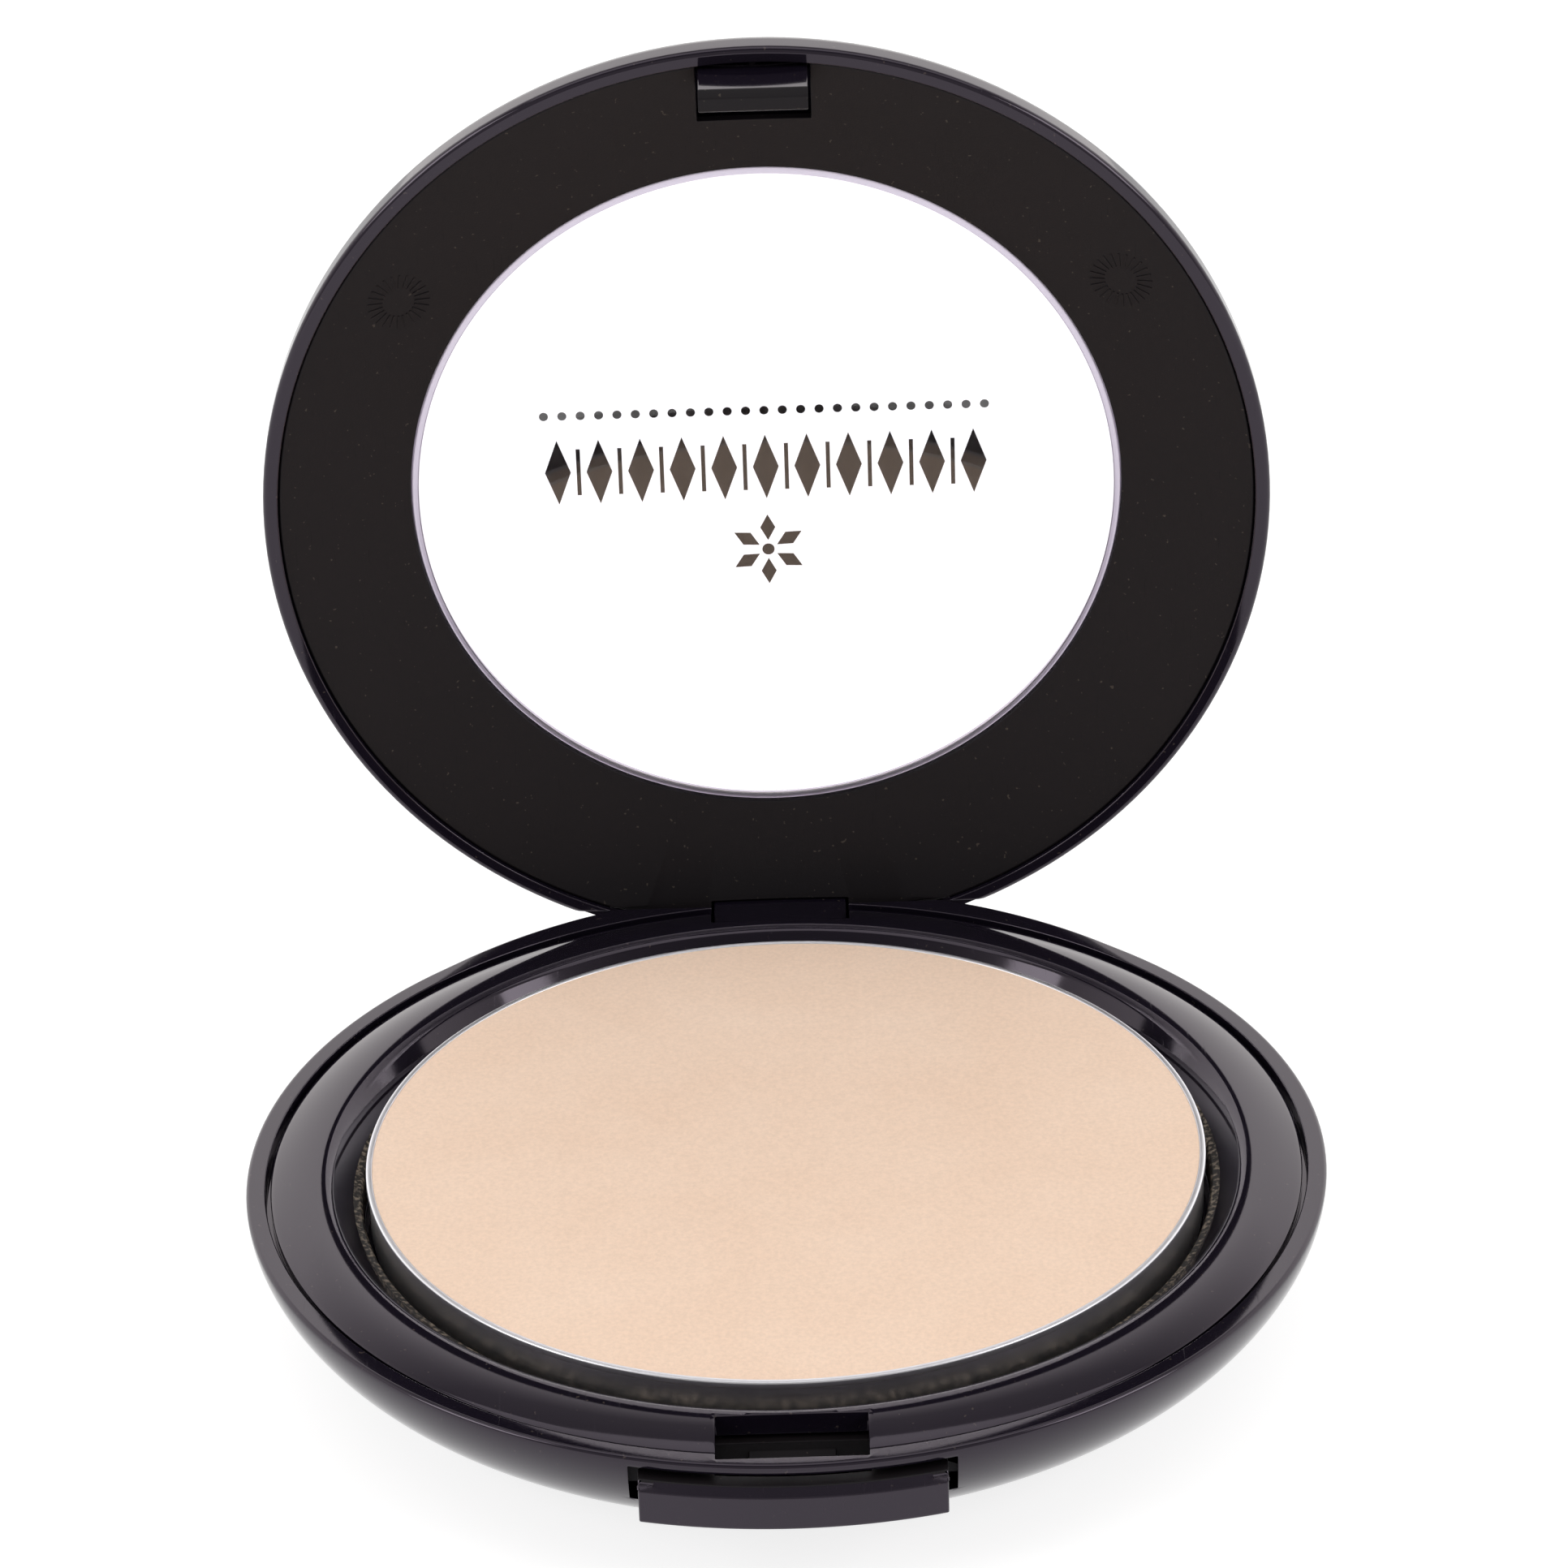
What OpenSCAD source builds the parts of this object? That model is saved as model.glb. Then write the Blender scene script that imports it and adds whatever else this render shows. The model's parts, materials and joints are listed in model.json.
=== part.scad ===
// Round pressed-powder compact: a bowl-shaped base that holds a metal pan of powder,
// a windowed lid on a pin hinge at the back, and a sprung push-button catch at the front.
// Millimetres. +Z is up, -Y is the button side, and the origin is the middle of the foot.

/* [Powder pan] */
// Outside radius of the powder pan
pan_r = 29.5; // [27:0.5:32]
// Height of the powder pan
pan_h = 4.4; // [4:0.1:4.6]
// Thickness of the pan's metal
pan_t = 0.3; // [0.2:0.05:0.4]
// How far the pan's edge stands above the base's rim
pan_rise = 0.9; // [0.5:0.1:0.9]
// Crown of the powder above the pan's edge
powder_crown = 0.15; // [0.05:0.05:0.3]

/* [Base] */
// Height of the base from the table to its rim
base_h = 10; // [10:0.5:12]
// Width of the rim's flat top
rim_w = 1.35; // [1.2:0.05:1.5]
// Gap between the rim and the inner frame
rim_gap = 0.35; // [0.25:0.05:0.4]
// Thickness of the base shell's floor
floor_t = 1.4; // [1:0.1:1.6]
// Roundness of the bowl, where 2 is an ellipse and less is flatter
bowl_n = 1.65; // [1.5:0.05:1.9]

/* [Catch] */
// Width of the push button
button_w = 20.4; // [19:0.1:21]
// Travel of the button when it is pressed
button_travel = 0.8; // [0.6:0.1:0.8]
// How far the button stands out beyond the rim
button_proud = 1.1; // [0.9:0.1:1.2]
// Width of the lid's hook
hook_w = 7.7; // [6:0.1:8]
// How far the button's tongue reaches into the hook
tongue_reach = 0.4; // [0.3:0.05:0.45]

/* [Hinge] */
// Radius of the steel hinge pin
pin_r = 0.65; // [0.55:0.05:0.65]
// Radial running clearance of the lid's knuckle on the pin
pin_clearance = 0.05; // [0.03:0.01:0.07]
// Width of the lid's knuckle
knuckle_w = 9.9; // [8:0.1:10]
// Angle that the lid is turned up from closed
open_angle = 89; // [0:1:89]

/* [Lid] */
// Gap between the closed lid and the base's rim
lid_gap = 0.15; // [0.1:0.05:0.2]
// Height of the lid's window bezel above the lid's edge
lid_h = 5.5; // [5.5:0.05:6]
// Radius of the window
window_r = 25.9; // [25.5:0.1:26]
// Thickness of the printed ink
ink_t = 0.04; // [0.02:0.01:0.06]

/* [Hidden] */
$fn = 128;
eps = 0.01;

// radii of the base, from the pan outwards
well_r = pan_r + 0.35;
well_wall_r = well_r + 1.15;
lip_r = pan_r + 2.65;
frame_r = pan_r + 6.75;
rim_in_r = frame_r + rim_gap;
base_r = rim_in_r + rim_w;
foot_r = base_r - 11.45;
bowl_steps = 14;

// levels of the base
ledge_z = base_h - 1;
pan_top_z = base_h + pan_rise;
pan_z = pan_top_z - pan_h;
glue_t = 0.2;
well_z = pan_z - glue_t;
frame_z = well_z - 1;
bowl_top_z = base_h - 0.5;
label_r = 16;
label_t = 0.15;

// hinge
hinge_y = base_r - 3.15;
hinge_z = base_h - 2;
knuckle_r = 1.45;
hinge_flat_y = base_r - 1.1;
pin_hole_end = 20.5;
swell_r = base_r - 2.57;
swell_in_r = swell_r - 5.5;
swell_y = 3.45;
swell_front_y = base_r - 8.9;
hinge_notch_w = knuckle_w + 0.4;
hinge_notch_y = hinge_y - knuckle_r - 0.15;
hinge_foot_z = hinge_z - knuckle_r - 0.2;
pin_half_l = 12.5;

// push button: its plate, its loop and tongue, and the room that the shell leaves for it
button_top_z = base_h - 1.25;
button_low_z = base_h - 4.35;
button_gap = 0.15;
button_slope = 0.6;
notch_w = button_w + 1.3;
notch_top_z = base_h - 0.75;
plate_in_r = frame_r + 1;
slab_low_z = base_h - 3.7;
slab_top_z = ledge_z - 0.3;
stop_y = -(base_r - 4.05);
lug_w = notch_w + 3;
lug_t = 0.9;
bar_front_y = -(frame_r - 3);
bar_back_y = bar_front_y + 1.1;
bar_low_z = ledge_z - 1.7;
loop_w = 10.4;
tongue_w = 5.8;

// slot in the inner frame that the hook drops through
slot_w = hook_w + 2.45;
slot_in_y = -(frame_r - 3.5);
slot_out_y = -(rim_in_r + 0.3);

// bowed leaf spring between the button's bar and the well's wall
spring_t = 0.2;
spring_half_w = 9.6;
spring_end_y = -sqrt(pow(well_wall_r + 0.02, 2) - pow(spring_half_w, 2));
spring_rise = spring_end_y - (bar_back_y + spring_t);
spring_r = (pow(spring_half_w, 2) + pow(spring_rise, 2)) / (2 * spring_rise);
spring_mid_y = bar_back_y + spring_t + spring_r;

// lid, as it lies closed
lid_z = base_h + lid_gap;
lid_r = base_r - 1.3;
lid_lip_r = 0.45;
lid_in_r = lid_r - 1.1;
lid_ledge_z = lid_z + 1.35;
shoulder_z = lid_z + 1.55;
lid_top_z = lid_z + lid_h;
dome_r = lid_r - 7.15;
dome_h = lid_h - 1.9;
dome_in_r = lid_r - 1.55;
dome_in_h = dome_h - 1;
liner_out_z = base_h + 0.45;
liner_in_z = base_h + 3.5;
lens_low_z = liner_in_z + 0.1;
lens_flange_r = window_r + 1.5;
lens_flange_z = liner_in_z + 0.75;
lens_flange_t = 0.75;
lens_top_z = lid_top_z - 0.25;
relief_y = hinge_y - 1.6;
relief_z = base_h + 0.75;
liner_slot_w = hook_w + 0.4;

// hook, as it hangs from the closed lid
hook_out_y = -(frame_r - 1.15);
hook_in_y = bar_front_y - 0.2;
hook_low_z = base_h - 3.8;
pocket_low_z = bar_low_z - 0.2;
pocket_h = 1.2;

// printed ornament on the window: a row of lozenges and strokes, a row of dots, a rosette
ornament_w = 33.5;
lozenge_n = 11;
lozenge_h = 5.2;
dot_n = 25;
dot_r = 0.33;
petal_n = 6;

// outline of a bowl from its top edge to its foot
function bowl_curve(r_foot, r_top, z_foot, z_top) = [
    for (i = [0:bowl_steps])
        let (t = 90 * i / bowl_steps)
        [
            r_foot + (r_top - r_foot) * pow(cos(t), 2 / bowl_n),
            z_top - (z_top - z_foot) * pow(sin(t), 2 / bowl_n)
        ]
];

// the same outline from the foot up
function reversed(points) = [for (i = [len(points) - 1:-1:0]) points[i]];

// quarter round from angle a0 to a1 about a centre
function arc(cx, cy, rx, ry, a0, a1, steps) = [
    for (i = [0:steps])
        let (a = a0 + (a1 - a0) * i / steps)
        [cx + rx * cos(a), cy + ry * sin(a)]
];

// a block between two corners
module block(low, high) {
    translate(low) cube(high - low);
}

// a block centred on X
module mid_block(width, y0, y1, z0, z1) {
    block([-width / 2, y0, z0], [width / 2, y1, z1]);
}

// a cylinder along X through the hinge line
module hinge_rod(r, x0, x1) {
    translate([x0, hinge_y, hinge_z]) rotate([0, 90, 0]) cylinder(r = r, h = x1 - x0);
}

// a lid piece, drawn closed, is turned up about the hinge
module on_lid() {
    translate([0, hinge_y, hinge_z])
        rotate([-open_angle, 0, 0])
            translate([0, -hinge_y, -hinge_z])
                children();
}

// moulded bowl: wall, rim, ledge for the inner frame, support ring, hinge ears
module base_shell() {
    edge = 0.3;
    ledge_r = rim_in_r - 1.3;
    foot_in_r = foot_r - 0.5;
    support_r = pan_r - 4.3;
    wall = concat(
        bowl_curve(foot_r, base_r, 0, bowl_top_z),
        [
            [0, 0],
            [0, floor_t],
            [support_r - 1.2, floor_t],
            [support_r - 1.2, frame_z],
            [support_r, frame_z],
            [support_r, floor_t]
        ],
        reversed(bowl_curve(foot_in_r, ledge_r, floor_t, ledge_z)),
        [
            [rim_in_r, ledge_z],
            [rim_in_r, base_h]
        ],
        reversed(arc(base_r - edge, base_h - edge, edge, edge, 0, 90, 4))
    );
    // swell over the pin: the bowl's own curve, drawn smaller and moved back
    ear = concat(
        [
            [swell_in_r, base_h],
            [swell_r - edge, base_h]
        ],
        [
            for (p = bowl_curve(foot_r, base_r, 0, bowl_top_z))
                if (p.y > hinge_foot_z - 0.9) [p.x - base_r + swell_r, p.y]
        ],
        [
            [swell_r - 3.5, hinge_foot_z - 1.8],
            [swell_in_r, hinge_foot_z - 1.8]
        ]
    );
    chamfer = 0.4;
    color("#1b1a22")
    difference() {
        union() {
            rotate_extrude() polygon(wall);
            intersection() {
                translate([0, swell_y, 0]) rotate_extrude() polygon(ear);
                mid_block(2 * base_r, swell_front_y, base_r + 1, 0, base_h + 1);
            }
        }
        // seat of the inner frame, above the ears
        translate([0, 0, ledge_z]) cylinder(r = rim_in_r, h = 5);
        // flat back, with its top edge eased for the swing of the lid
        mid_block(60, hinge_flat_y, base_r + 5, -1, base_h + 1);
        translate([0, hinge_flat_y, base_h])
            rotate([45, 0, 0])
                cube([60, chamfer * sqrt(2), 4], center = true);
        // gap for the lid's knuckle, and the hole for the pin
        mid_block(hinge_notch_w, hinge_notch_y, base_r + 5, hinge_foot_z, base_h + 1);
        hinge_rod(pin_r, -pin_half_l, pin_hole_end);
        // notch for the button, and the pocket behind it
        mid_block(notch_w, -base_r - 5, stop_y + 1, button_low_z - button_gap, notch_top_z);
        mid_block(lug_w + 0.4, stop_y, -pan_r + 2, button_low_z - button_gap, ledge_z + 1);
        // relief in the rim for the hook
        mid_block(slot_w, slot_out_y, -pan_r, notch_top_z - 1, base_h + 1);
        // seat of the label
        translate([0, 0, -1]) cylinder(r = label_r, h = 1 + label_t);
    }
}

// funnel ring and well that hold the pan; its flange covers the catch and the hinge ears
module inner_frame() {
    crest_r = lip_r + 0.45;
    crest_z = base_h + 0.6;
    crown_h = 0.75;
    roll_r = 1.15;
    slope_a = 48;
    fillet = 0.3;
    profile = concat(
        [
            [0, well_z],
            [0, frame_z],
            [well_wall_r, frame_z],
            [well_wall_r, ledge_z - fillet],
            [well_wall_r + fillet, ledge_z],
            [frame_r, ledge_z],
            [frame_r, base_h - 0.3]
        ],
        [
            for (i = [0:7])
                let (t = 1 - i / 8)
                [crest_r + (frame_r - 0.15 - crest_r) * t, crest_z - crown_h * t * t]
        ],
        arc(crest_r, crest_z - roll_r, roll_r, roll_r, 90, 90 + slope_a, 7),
        [
            [well_r + 0.6, base_h - 1.22],
            [well_r + 0.15, base_h - 1.35],
            [well_r, base_h - 1.55],
            [well_r, well_z]
        ]
    );
    color("#1d1b26")
    difference() {
        rotate_extrude() polygon(profile);
        mid_block(slot_w, slot_out_y - 1, slot_in_y, ledge_z - 1, base_h + 2);
        mid_block(hinge_notch_w, hinge_notch_y, base_r, ledge_z - 1, base_h + 2);
    }
}

// drawn metal pan with a small rolled edge
module powder_pan() {
    bead = 0.15;
    profile = [
        [0, pan_z],
        [pan_r - bead - 0.5, pan_z],
        [pan_r - bead, pan_z + 0.5],
        [pan_r - bead, pan_top_z - 0.5],
        [pan_r, pan_top_z - 0.4],
        [pan_r, pan_top_z - 0.1],
        [pan_r - 0.1, pan_top_z],
        [pan_r - bead - pan_t + 0.05, pan_top_z],
        [pan_r - bead - pan_t, pan_top_z - 0.05],
        [pan_r - bead - pan_t, pan_z + 0.65],
        [pan_r - bead - 0.65, pan_z + pan_t],
        [0, pan_z + pan_t]
    ];
    color("#c9c9cf") rotate_extrude() polygon(profile);
}

// pressed cake that fills the pan and rises to a low crown
module pressed_powder() {
    cake_r = pan_r - 0.15 - pan_t;
    profile = concat(
        [
            [0, pan_z + pan_t],
            [cake_r - 0.5, pan_z + pan_t],
            [cake_r, pan_z + 0.65]
        ],
        arc(0, pan_top_z - 0.05, cake_r, powder_crown, 0, 90, 8)
    );
    color("#e8cfba") rotate_extrude() polygon(profile);
}

// dots of glue that hold the pan in its well
module pan_glue() {
    color("#e9e2c8")
    for (a = [90:120:330])
        rotate([0, 0, a])
            translate([pan_r * 0.55, 0, well_z])
                cylinder(r = 3, h = glue_t);
}

// blank label, flush in the foot
module base_label() {
    color("#d9d9d9") cylinder(r = label_r - 0.1, h = label_t);
}

// steel pin through both ears and the lid's knuckle
module hinge_pin() {
    color("#b9bcc2") hinge_rod(pin_r, -pin_half_l, pin_half_l);
}

// button plate that shows outside, and the loop behind it that catches the hook
module catch_button() {
    face_r = base_r + button_proud;
    edge = 0.25;
    plate = [
        [plate_in_r, button_low_z],
        [face_r - edge, button_low_z],
        [face_r, button_low_z + edge],
        [face_r, button_top_z - button_slope],
        [face_r - button_slope, button_top_z],
        [plate_in_r, button_top_z]
    ];
    color("#191820")
    union() {
        intersection() {
            rotate_extrude() polygon(plate);
            mid_block(button_w, -base_r - 5, -20, 0, base_h);
        }
        difference() {
            union() {
                intersection() {
                    cylinder(r = plate_in_r + 0.3, h = base_h);
                    mid_block(button_w, -base_r, stop_y + 0.1, slab_low_z, slab_top_z);
                }
                mid_block(lug_w, stop_y + 0.05, stop_y + 0.05 + lug_t, slab_low_z, slab_top_z);
                mid_block(loop_w + 3.2, bar_front_y - 2, bar_back_y, bar_low_z, slab_top_z);
            }
            intersection() {
                cylinder(r = plate_in_r, h = base_h);
                mid_block(loop_w, -base_r, bar_front_y, 0, base_h);
            }
            mid_block(loop_w, bar_front_y - eps, bar_back_y + 1, 0, bar_low_z);
        }
        tongue();
    }
}

// tongue on the bar; it reaches into the hook's pocket, and its top slopes
module tongue() {
    tip_y = hook_in_y - tongue_reach;
    outline = [
        [bar_front_y + 0.3, bar_low_z],
        [tip_y, bar_low_z],
        [tip_y, bar_low_z + 0.2],
        [bar_front_y, bar_low_z + 0.8],
        [bar_front_y + 0.3, bar_low_z + 0.8]
    ];
    translate([-tongue_w / 2, 0, 0])
        rotate([90, 0, 90])
            linear_extrude(tongue_w)
                polygon(outline);
}

// bowed steel leaf that pushes the button back out
module button_spring() {
    color("#a9adb5")
    intersection() {
        translate([0, spring_mid_y, bar_low_z + 0.1])
            difference() {
                cylinder(r = spring_r + spring_t, h = 1.2);
                translate([0, 0, -1]) cylinder(r = spring_r, h = 4);
            }
        mid_block(2 * spring_half_w, -base_r, -pan_r + 3, 0, base_h);
    }
}

// hook that hangs from the front of the lid, with a pocket that faces the hinge
module hook() {
    outline = [
        [hook_out_y, shoulder_z + 1.3],
        [hook_out_y, hook_low_z + 0.5],
        [hook_out_y + 0.5, hook_low_z],
        [hook_in_y - 0.2, hook_low_z],
        [hook_in_y, hook_low_z + 0.3],
        [hook_in_y, shoulder_z + 2.2]
    ];
    difference() {
        translate([-hook_w / 2, 0, 0])
            rotate([90, 0, 90])
                linear_extrude(hook_w)
                    polygon(outline);
        mid_block(tongue_w + 0.5, hook_in_y - 0.9, hook_in_y + 1, pocket_low_z, pocket_low_z + pocket_h);
    }
}

// knuckle and arm that join the lid to the pin
module knuckle() {
    hinge_rod(knuckle_r, -knuckle_w / 2, knuckle_w / 2);
    mid_block(knuckle_w, hinge_y - knuckle_r, hinge_y + knuckle_r, hinge_z, shoulder_z);
}

// outer frame of the lid, with the hook and the knuckle moulded on
module lid_shell() {
    bezel_r = window_r + 0.1;
    seat_z = lens_flange_z + lens_flange_t;
    profile = concat(
        arc(lid_r - lid_lip_r, lid_z + lid_lip_r, lid_lip_r, lid_lip_r, 270, 360, 6),
        arc(dome_r, shoulder_z, lid_r - dome_r, dome_h, 0, 90, 12),
        [
            [bezel_r + 0.9, lid_top_z],
            [bezel_r + 0.2, lid_top_z],
            [bezel_r, lid_top_z - 0.2],
            [bezel_r, seat_z],
            [lens_flange_r + 0.1, seat_z],
            [lens_flange_r + 0.1, seat_z - 0.7]
        ],
        arc(dome_r, shoulder_z, dome_in_r - dome_r, dome_in_h, 90, 0, 10),
        [
            [dome_in_r, lid_ledge_z],
            [lid_in_r, lid_ledge_z],
            [lid_in_r, lid_z]
        ]
    );
    color("#1b1a22")
    on_lid()
    difference() {
        union() {
            difference() {
                rotate_extrude() polygon(profile);
                mid_block(60, relief_y, base_r, 0, relief_z);
            }
            knuckle();
            hook();
        }
        hinge_rod(pin_r + pin_clearance, -knuckle_w, knuckle_w);
    }
}

// dished ring that lines the lid and holds the window in
module lid_liner() {
    outer_r = lid_in_r - 0.05;
    slot_r = lip_r - 1.8;
    inner_r = window_r + 0.1;
    profile = [
        [inner_r, liner_in_z],
        [inner_r, lens_flange_z],
        [lens_flange_r + 0.2, lens_flange_z],
        [lens_flange_r + 1.1, lens_flange_z - 0.65],
        [outer_r - 1.5, lid_ledge_z + 0.25],
        [outer_r - 0.5, lid_ledge_z],
        [outer_r, lid_ledge_z],
        [outer_r, liner_out_z]
    ];
    color("#231e1f")
    on_lid()
    difference() {
        rotate_extrude() polygon(profile);
        mid_block(liner_slot_w, -lid_r, -slot_r, 0, lid_top_z);
        mid_block(60, relief_y, base_r, 0, relief_z);
        mid_block(hinge_notch_w, hinge_notch_y, base_r, 0, lid_top_z);
    }
}

// clear moulded disc, stepped so that a flange is held behind the liner
module window_lens() {
    profile = [
        [0, lens_low_z],
        [window_r, lens_low_z],
        [window_r, lens_flange_z],
        [lens_flange_r, lens_flange_z],
        [lens_flange_r, lens_flange_z + lens_flange_t],
        [window_r, lens_flange_z + lens_flange_t],
        [window_r, lens_top_z],
        [0, lens_top_z]
    ];
    color([0.92, 0.93, 0.96, 0.3]) on_lid() rotate_extrude() polygon(profile);
}

// diamond outline, centred
module lozenge(width, height) {
    polygon([[width / 2, 0], [0, height / 2], [-width / 2, 0], [0, -height / 2]]);
}

// ornament printed on the outside of the window
module window_print() {
    pitch = ornament_w / lozenge_n;
    dot_pitch = ornament_w / dot_n;
    color("#2b211c")
    on_lid()
    translate([0, 0, lens_top_z])
    linear_extrude(ink_t) {
        for (i = [0:lozenge_n - 1])
            translate([(i - (lozenge_n - 1) / 2) * pitch, -1.5])
                lozenge(pitch * 0.62, lozenge_h);
        for (i = [0:lozenge_n - 2])
            translate([(i - (lozenge_n - 2) / 2) * pitch, -1.5])
                square([0.3, lozenge_h * 0.72], center = true);
        for (i = [0:dot_n - 1])
            translate([(i - (dot_n - 1) / 2) * dot_pitch, -6.1])
                circle(r = dot_r, $fn = 24);
        translate([0, 5.3]) {
            circle(r = 0.45, $fn = 24);
            for (a = [0:360 / petal_n:359])
                rotate(a) translate([0, 1.8]) lozenge(1.1, 2.1);
        }
    }
}

base_shell();
inner_frame();
powder_pan();
pressed_powder();
pan_glue();
base_label();
hinge_pin();
catch_button();
button_spring();
lid_shell();
lid_liner();
window_lens();
window_print();
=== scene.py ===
# %% [markdown]
# # A round powder compact, modelled and finished in Blender
# The compact has a bowl-shaped base with a pan of pressed powder, a lid with a clear
# window on a pin hinge, and a push button at the front. The CAD model is loaded first as
# a fixed frame. Each visible piece is then modelled again with smooth, rounded edges in
# the place where the CAD says, and it rides on the body that it belongs to.

# %% Load the frame
import json
import math

import bpy
from mathutils import Matrix, Vector


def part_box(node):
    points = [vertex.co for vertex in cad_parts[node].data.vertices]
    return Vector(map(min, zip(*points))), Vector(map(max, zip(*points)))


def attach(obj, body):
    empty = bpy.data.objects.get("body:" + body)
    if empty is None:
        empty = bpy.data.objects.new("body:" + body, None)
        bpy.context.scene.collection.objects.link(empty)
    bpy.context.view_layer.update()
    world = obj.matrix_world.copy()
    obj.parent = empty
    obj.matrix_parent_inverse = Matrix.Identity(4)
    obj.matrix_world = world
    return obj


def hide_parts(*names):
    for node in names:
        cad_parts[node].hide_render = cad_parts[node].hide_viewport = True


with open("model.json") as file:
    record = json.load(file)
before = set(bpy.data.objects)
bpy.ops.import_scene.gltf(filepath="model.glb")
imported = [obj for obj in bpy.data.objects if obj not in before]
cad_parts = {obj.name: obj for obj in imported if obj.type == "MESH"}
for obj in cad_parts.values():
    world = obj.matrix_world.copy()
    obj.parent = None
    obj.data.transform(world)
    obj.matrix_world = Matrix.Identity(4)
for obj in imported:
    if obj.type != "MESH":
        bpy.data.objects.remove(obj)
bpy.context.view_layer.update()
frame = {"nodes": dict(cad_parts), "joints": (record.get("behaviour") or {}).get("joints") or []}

# %% [markdown]
# ## Measures
# The CAD is in metres, but edges here are tenths of a millimetre, and Blender's bevels and
# booleans work better when one unit is one millimetre. So each piece is shaped in
# millimetres and brought to metres when it is finished. The sizes come from the boxes of
# the CAD nodes and from the hinge joint, so the looks follow the CAD if it changes.

# %% Read the main sizes
MM = 0.001


def box_mm(node):
    low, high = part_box(node)
    return low / MM, high / MM


joints = {joint["name"]: joint for joint in frame["joints"]}
hinge = Vector(joints["lid_hinge"]["pos_m"]) / MM
open_turn = math.radians(joints["lid_hinge"]["range_deg"][1])
base_r, rim_z = box_mm("base_shell")[1].x, box_mm("base_shell")[1].z
frame_r, lip_z = box_mm("inner_frame")[1].x, box_mm("inner_frame")[1].z
pan_r, pan_top = box_mm("powder_pan")[1].x, box_mm("powder_pan")[1].z
pan_low = box_mm("powder_pan")[0].z
cake_top = box_mm("pressed_powder")[1].z
label_r, label_top = box_mm("base_label")[1].x, box_mm("base_label")[1].z
lid_r = box_mm("lid_shell")[1].x
lens_r = box_mm("window_lens")[1].x
button_low, button_high = box_mm("catch_button")
lip_r = pan_r + 2.65
rim_in_r = base_r - 1.35
ledge_z = rim_z - 1
print(f"base {2 * base_r:.1f} mm wide, rim at {rim_z:.1f} mm, hinge at {tuple(hinge)}")

# %% [markdown]
# ## Helpers for shaping
# Nearly all of a compact is turned: an outline is swept once round an axis. `soften`
# rounds the corners of an outline, because a mould can't make a sharp edge and because
# the roundings catch the light. `turned` starts from a plane whose corners are merged
# into one point, extrudes that point along the outline, and spins the line.

# %% Outline helpers
TURN_STEPS = 192


def soften(corners, steps=4):
    """Round the corners of a closed outline. A corner is (radius, height) or (radius, height, round)."""
    points = []
    for i, corner in enumerate(corners):
        here = Vector(corner[:2])
        if len(corner) < 3:
            points.append(tuple(here))
            continue
        back = (Vector(corners[i - 1][:2]) - here).normalized()
        ahead = (Vector(corners[(i + 1) % len(corners)][:2]) - here).normalized()
        half = back.angle(ahead) / 2
        centre = here + (back + ahead).normalized() * (corner[2] / math.sin(half))
        start = here + back * (corner[2] / math.tan(half)) - centre
        end = here + ahead * (corner[2] / math.tan(half)) - centre
        sweep = start.angle(end)
        for k in range(steps + 1):
            share = k / steps
            mix = start * math.sin((1 - share) * sweep) + end * math.sin(share * sweep)
            points.append(tuple(centre + mix / math.sin(sweep)))
    return points


def arc(centre_r, centre_z, radius_r, radius_z, start, end, steps=12):
    """Points on part of an ellipse, from one angle in degrees to another."""
    angles = [math.radians(start + (end - start) * k / steps) for k in range(steps + 1)]
    return [(centre_r + radius_r * math.cos(a), centre_z + radius_z * math.sin(a)) for a in angles]


# %% Modelling helpers
def pick(*pieces):
    bpy.ops.object.select_all(action="DESELECT")
    for piece in pieces:
        piece.select_set(True)
        bpy.context.view_layer.objects.active = piece


def added(name):
    piece = bpy.context.active_object
    piece.name = piece.data.name = name
    return piece


def turned(name, outline, steps=TURN_STEPS):
    """Sweep a closed outline once round the Z axis."""
    pick()
    bpy.ops.mesh.primitive_plane_add(size=1)
    piece = added(name)
    bpy.ops.object.mode_set(mode="EDIT")
    bpy.ops.mesh.select_all(action="SELECT")
    bpy.ops.mesh.merge(type="CENTER")
    bpy.ops.transform.translate(value=(outline[0][0], 0, outline[0][1]))
    for (r0, z0), (r1, z1) in zip(outline, outline[1:] + outline[:1]):
        step = {"value": (r1 - r0, 0, z1 - z0)}
        bpy.ops.mesh.extrude_region_move(TRANSFORM_OT_translate=step)
    bpy.ops.mesh.select_all(action="SELECT")
    bpy.ops.mesh.spin(steps=steps, angle=math.tau, center=(0, 0, 0), axis=(0, 0, 1))
    bpy.ops.mesh.select_all(action="SELECT")
    bpy.ops.mesh.remove_doubles(threshold=1e-4)
    bpy.ops.mesh.normals_make_consistent(inside=False)
    bpy.ops.object.mode_set(mode="OBJECT")
    return piece


def block(low, high, round_edges=0.0):
    """A box between two corners, with its edges rounded if asked."""
    pick()
    low, high = Vector(low), Vector(high)
    bpy.ops.mesh.primitive_cube_add(size=1, location=(low + high) / 2, scale=high - low)
    piece = added("block")
    bpy.ops.object.transform_apply(location=True, rotation=True, scale=True)
    if round_edges:
        bpy.ops.object.mode_set(mode="EDIT")
        bpy.ops.mesh.select_all(action="SELECT")
        bpy.ops.mesh.bevel(offset=round_edges, segments=3, affect="EDGES")
        bpy.ops.object.mode_set(mode="OBJECT")
    return piece


def mid_block(width, y0, y1, z0, z1, round_edges=0.0):
    return block((-width / 2, y0, z0), (width / 2, y1, z1), round_edges)


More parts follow.
